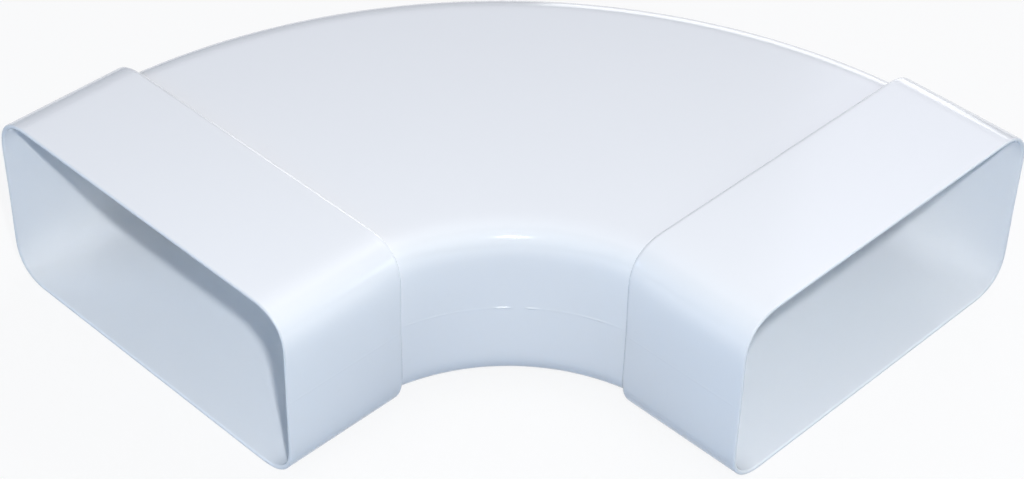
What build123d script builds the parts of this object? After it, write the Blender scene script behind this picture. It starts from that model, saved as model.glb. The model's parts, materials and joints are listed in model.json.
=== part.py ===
"""Flat duct horizontal bend: a quarter turn of flat ventilation duct, moulded in one piece, with a socket at each end.

Units are millimetres. +Z is up and the bend lies flat. Socket A's mouth faces -X and socket B's faces -Y.
The origin is the middle of the bounding box's bottom face, level with the sockets' undersides.
"""

import os

from build123d import *

# The flat duct that the sockets take, by its outside size.
duct_width = 150.0
duct_height = 70.0
duct_corner = 12.0

# The moulding.
fit_clearance = 0.3     # gap round the duct inside a socket, on each side
wall = 1.6              # wall thickness, the same all over
ledge = 4.0             # how far the turn's walls stand in from the sockets' walls, all round
socket_length = 52.0    # outside, from the mouth to the shoulder
socket_overlap = 15.5   # how far a socket's shoulder stands past the start of the turn
bend_radius = 145.0     # radius of the duct's centreline in the turn
shoulder_round = 2.0    # outside rounding at the shoulder of a socket
lead_in = 0.5           # bevel inside the rim of a mouth, which guides the duct in


def offset_section(section, distance):
    """The section (width, height, corner radius) that lies a distance outside another, all round."""
    width, height, corner = section
    return width + 2 * distance, height + 2 * distance, corner + distance


# Sections, from the duct outwards to the sockets and from there inwards to the turn.
socket_bore = offset_section((duct_width, duct_height, duct_corner), fit_clearance)
socket_outside = offset_section(socket_bore, wall)
turn_outside = offset_section(socket_outside, -ledge)
turn_bore = offset_section(turn_outside, -wall)

# Places. The turn's centre puts the origin in the middle of the bounding box.
mouth_reach = socket_length - socket_overlap
far_reach = bend_radius + socket_outside[0] / 2
turn_centre = (mouth_reach - far_reach) / 2
mouth_place = turn_centre - mouth_reach
shoulder_place = turn_centre + socket_overlap
ledge_place = shoulder_place - wall
socket_axis = turn_centre + bend_radius
mid_height = socket_outside[1] / 2

# The bend is its own mirror image across the upright plane that swaps X and Y.
mirror_plane = Plane(origin=(0, 0, 0), z_dir=(1, -1, 0))


def section_face(section, place):
    """A section as a flat face, square to socket A's axis, at a place along it."""
    plane = Plane(origin=(place, socket_axis, mid_height), x_dir=(0, 1, 0), z_dir=(1, 0, 0))
    return plane * RectangleRounded(*section)


def straight_run(section, start, end):
    """A bar of one section along socket A's axis."""
    return extrude(section_face(section, start), amount=end - start)


def quarter_turn(section):
    """A bar of one section round the turn, from socket B's axis to socket A's."""
    plane = Plane(origin=(socket_axis, turn_centre, mid_height), x_dir=(1, 0, 0), z_dir=(0, -1, 0))
    upright = Axis((turn_centre, turn_centre, 0), (0, 0, 1))
    return revolve(plane * RectangleRounded(*section), axis=upright, revolution_arc=90)


def socket_block():
    """Socket A's outside, rounded at the shoulder."""
    block = straight_run(socket_outside, mouth_place, shoulder_place)
    shoulder_edges = block.faces().sort_by(Axis.X)[-1].edges()
    return fillet(shoulder_edges, shoulder_round)


def socket_cavity():
    """The room inside socket A, from the bevelled mouth to the ledge that stops the duct."""
    bevel = loft([
        section_face(offset_section(socket_bore, lead_in), mouth_place),
        section_face(socket_bore, mouth_place + lead_in),
    ])
    return straight_run(socket_bore, mouth_place, ledge_place) + bevel


def with_mirror(socket_shape):
    """A shape at socket A together with its twin at socket B."""
    return socket_shape + mirror(socket_shape, about=mirror_plane)


outside = quarter_turn(turn_outside) + with_mirror(socket_block())
air_space = quarter_turn(turn_bore) + with_mirror(socket_cavity())
duct_bend = outside - air_space

os.makedirs("parts", exist_ok=True)
export_step(duct_bend, "parts/duct_bend.step")
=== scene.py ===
"""White flat duct bend, dressed and lit as in the photograph. Metres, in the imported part's frame.

The shell is one closed grid. Its rings run along the outside from socket A round the turn to socket B,
and back along the inside. They are worked out in millimetres from the turn's centre.
"""
import json
import math

import bpy
import numpy as np
from mathutils import Matrix, Vector

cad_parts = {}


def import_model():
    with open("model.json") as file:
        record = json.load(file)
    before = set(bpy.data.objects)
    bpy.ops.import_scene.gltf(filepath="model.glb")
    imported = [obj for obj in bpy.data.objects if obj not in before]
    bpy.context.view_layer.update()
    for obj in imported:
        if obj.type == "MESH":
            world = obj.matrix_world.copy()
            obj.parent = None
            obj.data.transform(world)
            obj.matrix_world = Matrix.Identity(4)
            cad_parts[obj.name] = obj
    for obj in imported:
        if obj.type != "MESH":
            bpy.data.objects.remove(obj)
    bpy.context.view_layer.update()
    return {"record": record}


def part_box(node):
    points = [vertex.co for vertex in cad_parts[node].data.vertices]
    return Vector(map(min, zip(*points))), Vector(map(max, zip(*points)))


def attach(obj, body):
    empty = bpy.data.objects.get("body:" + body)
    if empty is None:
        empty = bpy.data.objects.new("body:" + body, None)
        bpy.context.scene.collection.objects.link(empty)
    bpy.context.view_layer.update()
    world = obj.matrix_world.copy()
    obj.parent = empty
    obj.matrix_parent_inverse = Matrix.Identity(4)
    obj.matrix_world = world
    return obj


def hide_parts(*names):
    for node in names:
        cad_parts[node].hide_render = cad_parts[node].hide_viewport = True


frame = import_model()

MM = 0.001

# Places that the frame gives, in millimetres.
mounts = {mount["name"]: [v / MM for v in mount["pos_m"]] for mount in frame["record"]["mounts"]}
MOUTH_PLACE, AXIS, MID = mounts["socket_a"]
STOP_PLACE = mounts["stop_a"][0]
low, high = (np.array(end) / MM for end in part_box("duct_bend"))
WIDTH = 2 * (high[1] - AXIS)
HEIGHT = high[2] - low[2]

# Sizes of the moulding in millimetres, as in the solid.
CORNER = 13.9            # rounding of the sockets' outside section
WALL = 1.6
LEDGE = 4.0              # how far the turn's walls stand in from the sockets' walls
LEAD_IN = 0.5            # bevel inside the rim of a mouth
SHOULDER_ROUND = 2.0
RADIUS = 145.0           # of the duct's centreline in the turn

# Places along socket A's axis, counted from the turn's centre.
CENTRE = AXIS - RADIUS
MOUTH = MOUTH_PLACE - CENTRE
STOP = STOP_PLACE - CENTRE
SHOULDER = STOP + WALL
SHOULDER_START = SHOULDER - SHOULDER_ROUND

# Fine relief that the solid leaves out.
RIM_ROUND = 0.6
SIDE_BOW = 0.22          # hollow of the sockets' sides at mid-height
CORNER_EASE = 1.25       # how much further than a circle the corners' rounding reaches along the flats
ROOT_FILLET = 0.7        # at the foot of a shoulder, where there is room
ROOT_LEAST = 0.02        # the same where the shoulder hardly stands out
ROOT_SHARE = 0.85        # share of a shoulder's upright face that the fillet may take
LEDGE_ROUND = 0.3        # at both edges of a stop ledge

# The parting line along the sides: a low bead, of which stubs and a trace are left.
BEAD_HEIGHT = 0.30
BEAD_HALF = 0.5          # half its width
BEAD_CLEAR = 0.8         # height above and below mid-height where the sides' other points start
BEAD_TRACE = 0.15        # share of its height that is left along most of the line
BEAD_FADE = 2.0          # length over which it runs out at a socket's ends
# Stretches of the turn in degrees from socket B: start, end and the soft length at either end.
BEAD_TURN = (0, 90, 1)   # the trace runs all the way round
BEAD_GAP = (40, 46.5, 1) # it is missing here
# The same for the stubs, each followed by its share of the bead's height.
BEAD_STUBS = [(46, 52.5, 0.8, 1.0), (34.5, 40.5, 1.5, 0.85), (4, 20, 6, 0.45), (68, 84, 6, 0.3)]

# How many points each stretch of the section has.
SIDE_POINTS, BEAD_POINTS, CORNER_POINTS, FLAT_POINTS = 9, 13, 19, 29
# How many rings each stretch of the shell has.
RIM_RINGS, SOCKET_RINGS, SHOULDER_RINGS, ROOT_RINGS = 5, 25, 10, 7
BEVEL_RINGS, BORE_RINGS, LEDGE_EDGE_RINGS, LEDGE_ROOT_RINGS = 3, 22, 5, 6
TURN_RINGS = 121
BEVEL_CLEAR = 0.3        # from the bevel to the bore's first ring
FAN_CLEAR = 1.2          # from a shoulder or ledge to the pivot of the turn's rings

# The plastic. The grain's depth is in metres.
PLASTIC_IOR = 1.54
PLASTIC_ROUGHNESS = (0.10, 0.15)
# Colours at two levels of the clouds.
PLASTIC_TONES = [(0.3, (0.939, 0.943, 0.947, 1)), (0.7, (0.949, 0.952, 0.955, 1))]
CLOUD_SCALE, CLOUD_DETAIL = 9.0, 3.0
GRAIN_SCALE, GRAIN_DETAIL = 260.0, 2.0
GRAIN_STRENGTH, GRAIN_DEPTH = 0.12, 0.0002

# The floor and the room, in metres.
WHITE = (1, 1, 1, 1)
FLOOR_HALF = 6.0
FLOOR_DROP = 0.0001      # gap under the sockets
FLOOR_ROUGHNESS = 0.9
FLOOR_SEEN = (0.95, 0.95, 0.95, 1)
FLOOR_BOUNCE = (0.10, 0.22, 0.38, 1)
FLOOR_GLOW = 0.86        # share of its brightness that no shadow takes away
ROOM_COLOUR = (0.58, 0.75, 1.0, 1)
ROOM_STRENGTH = 0.01
DIFFUSE_BOUNCES = 12     # light goes to and fro many times inside the white duct

# The photograph's camera: angles in degrees, lengths in millimetres where nothing else is said.
CAMERA_AZIMUTH, CAMERA_ELEVATION, CAMERA_ROLL = -45.9657, 39.7753, 1.3348
CAMERA_DISTANCE = 855.296
CAMERA_FOCAL = 2403.903  # in the photo's pixels
CAMERA_CLIP = (0.01, 50.0)   # in metres
PHOTO_WIDTH = 1024       # in pixels
SENSOR = 36.0
# The point in the picture's middle, level with the part's mid-height and counted from the turn's centre.
AIM_X, AIM_Y = 76.587, 77.219
AIM = Vector((CENTRE + AIM_X, CENTRE + AIM_Y, MID)) * MM


def quarter(count):
    """Angles from nothing to a right angle, in radians."""
    return np.radians(np.linspace(0, 90, count))


def stretch(value, start, end, soft):
    """1 between two values, falling to 0 at either end over a soft length."""
    return min(max((value - start) / soft, 0.0), max((end - value) / soft, 0.0), 1.0)


def corner():
    """A quarter of the section's rounding, from the side to the top: its reach, points and outward normals.

    It runs gently into the flats and meets the solid's circular rounding halfway.
    """
    reach = CORNER * CORNER_EASE
    power = -1 / math.log2(1 - (1 - math.sqrt(0.5)) / CORNER_EASE)
    turn = quarter(CORNER_POINTS)[1:-1]
    a, u = np.cos(turn) ** (2 / power), np.sin(turn) ** (2 / power)
    length = np.hypot(a ** (power - 1), u ** (power - 1))
    return reach, a * reach, u * reach, a ** (power - 1) / length, u ** (power - 1) / length


def profile():
    """The sockets' outside section: points (across, up), outward normals, shares of the bead and the bow."""
    reach, corner_a, corner_u, normal_a, normal_u = corner()
    half_flat, half_side = WIDTH / 2 - reach, HEIGHT / 2 - reach
    side = np.concatenate([
        np.linspace(-half_side, -BEAD_CLEAR, SIDE_POINTS),
        np.linspace(-BEAD_HALF, BEAD_HALF, BEAD_POINTS),
        np.linspace(BEAD_CLEAR, half_side, SIDE_POINTS),
    ])
    flat = np.linspace(half_flat, -half_flat, FLAT_POINTS)
    # One side, a corner, the top and the next corner. The rest is the same turned half round.
    stretches = [
        (WIDTH / 2, side, 1.0, 0.0),
        (half_flat + corner_a, half_side + corner_u, normal_a, normal_u),
        (flat, HEIGHT / 2, 0.0, 1.0),
        (-half_flat - corner_a[::-1], half_side + corner_u[::-1], -normal_a[::-1], normal_u[::-1]),
    ]
    half = np.hstack([np.stack(np.broadcast_arrays(*row)) for row in stretches])
    across, up, na, nu = np.hstack([half, -half])
    on_side = nu == 0
    bead = np.where(on_side, np.clip(1 - (up / BEAD_HALF) ** 2, 0, 1), 0.0)
    bow = np.where(on_side, np.clip(1 - (up / half_side) ** 2, 0, 1) ** 2, 0.0)
    return across, up, na, nu, bead, bow


ACROSS, UP, NA, NU, BEAD, BOW = profile()


def at_offset(offset):
    """Section points (radius from the turn's centre, height), an offset away from the sockets' outside."""
    return RADIUS + ACROSS + NA * offset, MID + UP + NU * offset


def straight(place, offset):
    """A ring of socket A, square to its axis."""
    rho, z = at_offset(offset)
    return np.stack([np.broadcast_to(place, rho.shape), rho, z], 1)


def turned(place, offset):
    """A ring of the turn's surface, cut by a plane square to socket A's axis."""
    rho, z = at_offset(offset)
    place = np.broadcast_to(place, rho.shape)
    return np.stack([place, np.sqrt(rho ** 2 - place ** 2), z], 1)


def fanned(pivot, angle, offset):
    """A ring of the turn's surface, cut by an upright plane through (pivot, pivot)."""
    rho, z = at_offset(offset)
    c, s = math.cos(angle), math.sin(angle)
    b = pivot * (c + s)
    reach = np.sqrt(b * b - 2 * pivot * pivot + rho ** 2) - b
    return np.stack([pivot + reach * c, pivot + reach * s, z], 1)


def along_normal(ring, distance):
    """A ring moved along the section's normals, in socket A's plane."""
    out = ring.copy()
    out[:, 1] += NA * distance
    out[:, 2] += NU * distance
    return out


def swapped(ring):
    """Socket B's twin of a ring of socket A."""
    return ring[:, [1, 0, 2]]


def outer_rings():
    """Socket A's outside from the rim to the start of the turn."""
    bowed = -BOW * SIDE_BOW
    trace = BEAD * BEAD_HEIGHT * BEAD_TRACE
    rings = []
    for t in quarter(RIM_RINGS)[::-1]:
        x = MOUTH + RIM_ROUND * (1 - math.sin(t))
        rings.append(straight(x, bowed - RIM_ROUND * (1 - math.cos(t))))
    for x in np.linspace(MOUTH + RIM_ROUND, SHOULDER_START, SOCKET_RINGS)[1:]:
        rings.append(straight(x, bowed + trace * stretch(x, MOUTH, SHOULDER_START, BEAD_FADE)))
    for t in quarter(SHOULDER_RINGS)[1:]:
        x = SHOULDER_START + SHOULDER_ROUND * math.sin(t)
        rings.append(straight(x, bowed - SHOULDER_ROUND * (1 - math.cos(t))))
    # The shoulder's step is not the same all round, because the turn's walls have begun to curve there.
    root = turned(SHOULDER, -LEDGE)
    step = LEDGE - NA * (root[:, 1] - (RADIUS + ACROSS - NA * LEDGE))
    fillet = np.clip(ROOT_SHARE * (step - SHOULDER_ROUND + bowed), ROOT_LEAST, ROOT_FILLET)
    for t in quarter(ROOT_RINGS):
        x = SHOULDER + fillet * (1 - math.cos(t))
        rings.append(along_normal(turned(x, -LEDGE), fillet * (1 - math.sin(t))))
    return rings


def inner_rings():
    """Socket A's inside from the rim's bevel to the start of the turn."""
    rings = []
    for depth in np.linspace(0, LEAD_IN, BEVEL_RINGS):
        rings.append(straight(MOUTH + depth, -WALL + LEAD_IN - depth))
    edge = STOP - LEDGE_ROUND
    for x in np.linspace(MOUTH + LEAD_IN + BEVEL_CLEAR, edge, BORE_RINGS):
        rings.append(straight(x, -WALL))
    for t in quarter(LEDGE_EDGE_RINGS)[1:]:
        rings.append(straight(edge + LEDGE_ROUND * math.sin(t), -WALL - LEDGE_ROUND * (1 - math.cos(t))))
    for t in quarter(LEDGE_ROOT_RINGS):
        x = STOP + LEDGE_ROUND * (1 - math.cos(t))
        rings.append(along_normal(turned(x, -LEDGE - WALL), LEDGE_ROUND * (1 - math.sin(t))))
    return rings


def bead_share(angle):
    """How much of the parting bead's height is left at an angle round the turn."""
    trace = BEAD_TRACE * (1 - stretch(angle, *BEAD_GAP)) * stretch(angle, *BEAD_TURN)
    stubs = [share * stretch(angle, *span) for *span, share in BEAD_STUBS]
    return max(trace, *stubs)


def skin():
    """Every ring of the closed surface: outside from A to B, then inside back from B to A."""
    angles = np.linspace(90, 0, TURN_RINGS)
    outer_pivot, inner_pivot = SHOULDER + FAN_CLEAR, STOP + FAN_CLEAR
    outer, inner = outer_rings(), inner_rings()
    outer_turn = [
        fanned(outer_pivot, math.radians(a), -LEDGE + BEAD * BEAD_HEIGHT * bead_share(a)) for a in angles
    ]
    inner_turn = [fanned(inner_pivot, math.radians(a), -LEDGE - WALL) for a in angles]
    outside = outer + outer_turn + [swapped(ring) for ring in outer[::-1]]
    inside = inner + inner_turn + [swapped(ring) for ring in inner[::-1]]
    return outside + inside[::-1]


def closed_grid(name, rings):
    """A mesh from rings that close on themselves both ways, with normals weighted by area."""
    points = np.array(rings) * MM
    points[:, :, :2] += CENTRE * MM
    m, n = points.shape[:2]
    verts = points.reshape(-1, 3)
    i, j = np.meshgrid(np.arange(m), np.arange(n), indexing="ij")
    a, b = i * n + j, i * n + (j + 1) % n
    c, d = ((i + 1) % m) * n + (j + 1) % n, ((i + 1) % m) * n + j
    quads = np.stack([a, b, c, d], -1).reshape(-1, 4)
    p = verts[quads]
    normal = np.cross(p[:, 2] - p[:, 0], p[:, 3] - p[:, 1])
    # Faces that look inwards are turned over.
    volume = (p.mean(1) * normal).sum()
    if volume < 0:
        quads, normal = quads[:, ::-1], -normal
    smooth = np.zeros_like(verts)
    for k in range(4):
        np.add.at(smooth, quads[:, k], normal)
    smooth /= np.linalg.norm(smooth, axis=1, keepdims=True)
    mesh = bpy.data.meshes.new(name)
    mesh.from_pydata(verts.tolist(), [], quads.tolist())
    mesh.polygons.foreach_set("use_smooth", np.ones(len(quads), bool))
    mesh.normals_split_custom_set_from_vertices(smooth.tolist())
    mesh.update()
    obj = bpy.data.objects.new(name, mesh)
    bpy.context.scene.collection.objects.link(obj)
    return obj


def feed(tree, node, inputs):
    """Set a shader node's inputs, each to a plain value or to another node's output."""
    for key, value in inputs.items():
        if isinstance(value, bpy.types.NodeSocket):
            tree.links.new(value, node.inputs[key])
        else:
            node.inputs[key].default_value = value


def add_node(tree, kind, inputs, **settings):
    """A new shader node with its settings, and then its inputs."""
    node = tree.nodes.new(kind)
    for name, value in settings.items():
        setattr(node, name, value)
    feed(tree, node, inputs)
    return node


def maths(tree, operation, first, second):
    """The output of a maths node."""
    return add_node(tree, "ShaderNodeMath", {0: first, 1: second}, operation=operation).outputs[0]


def mix_shaders(tree, share, first, second, output):
    """Two shaders, the second by a share, on their way to the tree's output."""
    mix = add_node(tree, "ShaderNodeMixShader", {0: share, 1: first.outputs[0], 2: second.outputs[0]})
    feed(tree, tree.nodes[output], {"Surface": mix.outputs[0]})


def noise(tree, scale, detail):
    """A level between 0 and 1 that wanders over the object."""
    place = tree.nodes.new("ShaderNodeTexCoord").outputs["Object"]
    made = add_node(tree, "ShaderNodeTexNoise", {"Vector": place, "Scale": scale, "Detail": detail})
    return made.outputs["Fac"]


def white_plastic():
    """Glossy white plastic, with faint clouds in its tone and gloss and a fine grain."""
    mat = bpy.data.materials.new("white_plastic")
    mat.use_nodes = True
    tree = mat.node_tree
    cloud = noise(tree, CLOUD_SCALE, CLOUD_DETAIL)
    tone = add_node(tree, "ShaderNodeValToRGB", {"Fac": cloud})
    for stop, (level, colour) in zip(tone.color_ramp.elements, PLASTIC_TONES):
        stop.position = level
        stop.color = colour
    least, most = PLASTIC_ROUGHNESS
    rough = add_node(tree, "ShaderNodeMapRange", {"Value": cloud, "To Min": least, "To Max": most})
    grain = noise(tree, GRAIN_SCALE, GRAIN_DETAIL)
    bumps = {"Height": grain, "Strength": GRAIN_STRENGTH, "Distance": GRAIN_DEPTH}
    relief = add_node(tree, "ShaderNodeBump", bumps)
    feed(tree, tree.nodes["Principled BSDF"], {
        "IOR": PLASTIC_IOR,
        "Base Color": tone.outputs["Color"],
        "Roughness": rough.outputs["Result"],
        "Normal": relief.outputs["Normal"],
    })
    return mat


def dress():
    """The bend's shell in white plastic, in place of the solid."""
    bend = closed_grid("bend_shell", skin())
    bend.data.materials.append(white_plastic())
    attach(bend, "root")
    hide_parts("duct_bend")


def floor_paint():
    """White with a weak shadow to the camera and in reflections, but dim and bluish as a source of light."""
    mat = bpy.data.materials.new("floor")
    mat.use_nodes = True
    tree = mat.node_tree
    ray = tree.nodes.new("ShaderNodeLightPath").outputs
    mirrored = maths(tree, "MAXIMUM", ray["Is Glossy Ray"], ray["Is Transmission Ray"])
    seen = maths(tree, "MAXIMUM", ray["Is Camera Ray"], mirrored)
    tones = {"Factor": seen, "A": FLOOR_BOUNCE, "B": FLOOR_SEEN}
    tone = add_node(tree, "ShaderNodeMix", tones, data_type="RGBA")
    shader = tree.nodes["Principled BSDF"]
    feed(tree, shader, {"Base Color": tone.outputs["Result"], "Roughness": FLOOR_ROUGHNESS})
    glow = tree.nodes.new("ShaderNodeEmission")
    mix_shaders(tree, maths(tree, "MULTIPLY", seen, FLOOR_GLOW), shader, glow, "Material Output")
    return mat


def floor():
    """A wide floor just under the object."""
    mesh = bpy.data.meshes.new("floor")
    ends = [(x * FLOOR_HALF, y * FLOOR_HALF, 0) for x, y in ((-1, -1), (1, -1), (1, 1), (-1, 1))]
    mesh.from_pydata(ends, [], [(0, 1, 2, 3)])
    mesh.materials.append(floor_paint())
    obj = bpy.data.objects.new("floor", mesh)
    obj.location.z = -FLOOR_DROP
    bpy.context.scene.collection.objects.link(obj)


def world():
    """White to the camera, with a faint bluish light from all round."""
    room = bpy.data.worlds.new("room")
    bpy.context.scene.world = room
    room.use_nodes = True
    tree = room.node_tree
    fill = tree.nodes["Background"]
    feed(tree, fill, {"Color": ROOM_COLOUR, "Strength": ROOM_STRENGTH})
    white = add_node(tree, "ShaderNodeBackground", {"Color": WHITE})
    ray = tree.nodes.new("ShaderNodeLightPath").outputs
    mix_shaders(tree, ray["Is Camera Ray"], fill, white, "World Output")


def direction(azimuth, elevation):
    """Unit vector towards a light or the camera: azimuth 0 is -Y, 90 is +X."""
    a, e = math.radians(azimuth), math.radians(elevation)
    return Vector((math.sin(a) * math.cos(e), -math.cos(a) * math.cos(e), math.sin(e)))


def area_light(name, azimuth, elevation, distance, size, power, colour, height=None):
    """A lamp that faces the object: a disc, or an upright rectangle if a height is given."""
    data = bpy.data.lights.new(name, "AREA")
    data.shape = "RECTANGLE" if height else "DISK"
    data.size = size
    data.size_y = height or size
    data.energy = power
    data.color = colour
    obj = bpy.data.objects.new(name, data)
    back = direction(azimuth, elevation)
    obj.location = AIM + back * distance
    obj.rotation_mode = "QUATERNION"
    obj.rotation_quaternion = (-back).to_track_quat("-Z", "Y")
    bpy.context.scene.collection.objects.link(obj)


def lamps():
    """A small key lamp near the camera makes the glints, and large dim ones light the rest."""
    area_light("key", azimuth=-43.1, elevation=42.1, distance=0.75, size=0.024,
               power=2.95, colour=(0.923, 0.958, 1.0))
    area_light("front", azimuth=-46.0, elevation=40.0, distance=1.6, size=2.4,
               power=9.0, colour=(0.845, 0.916, 1.0))
    area_light("right", azimuth=90.0, elevation=35.0, distance=2.4, size=2.4,
               power=16.0, colour=(0.884, 0.878, 1.0))
    area_light("front_right", azimuth=45.0, elevation=15.0, distance=1.6, size=0.9,
               power=5.6, colour=(0.862, 0.962, 1.0))
    area_light("back_right", azimuth=122.0, elevation=12.0, distance=2.4, size=0.9, height=0.8,
               power=6.5, colour=(1.0, 1.0, 1.0))
    area_light("back_left", azimuth=-135.0, elevation=15.0, distance=1.6, size=0.9,
               power=6.0, colour=(0.578, 0.754, 1.0))
    area_light("overhead", azimuth=135.0, elevation=60.0, distance=2.0, size=2.4,
               power=10.4, colour=(0.955, 0.945, 1.0))


def camera():
    """The photograph's camera."""
    data = bpy.data.cameras.new("camera")
    data.sensor_width = SENSOR
    data.lens = CAMERA_FOCAL * SENSOR / PHOTO_WIDTH
    data.clip_start, data.clip_end = CAMERA_CLIP
    back = direction(CAMERA_AZIMUTH, CAMERA_ELEVATION)
    level = direction(CAMERA_AZIMUTH + 90, 0)
    upright = back.cross(level)
    c, s = math.cos(math.radians(CAMERA_ROLL)), math.sin(math.radians(CAMERA_ROLL))
    right, up = level * c + upright * s, upright * c - level * s
    spot = AIM + back * CAMERA_DISTANCE * MM
    obj = bpy.data.objects.new("camera", data)
    obj.matrix_world = Matrix((
        (right.x, up.x, back.x, spot.x),
        (right.y, up.y, back.y, spot.y),
        (right.z, up.z, back.z, spot.z),
        (0, 0, 0, 1),
    ))
    bpy.context.scene.collection.objects.link(obj)
    bpy.context.scene.camera = obj


dress()
floor()
world()
lamps()
camera()

bpy.context.scene.view_settings.view_transform = "Standard"
bpy.context.scene.cycles.diffuse_bounces = DIFFUSE_BOUNCES
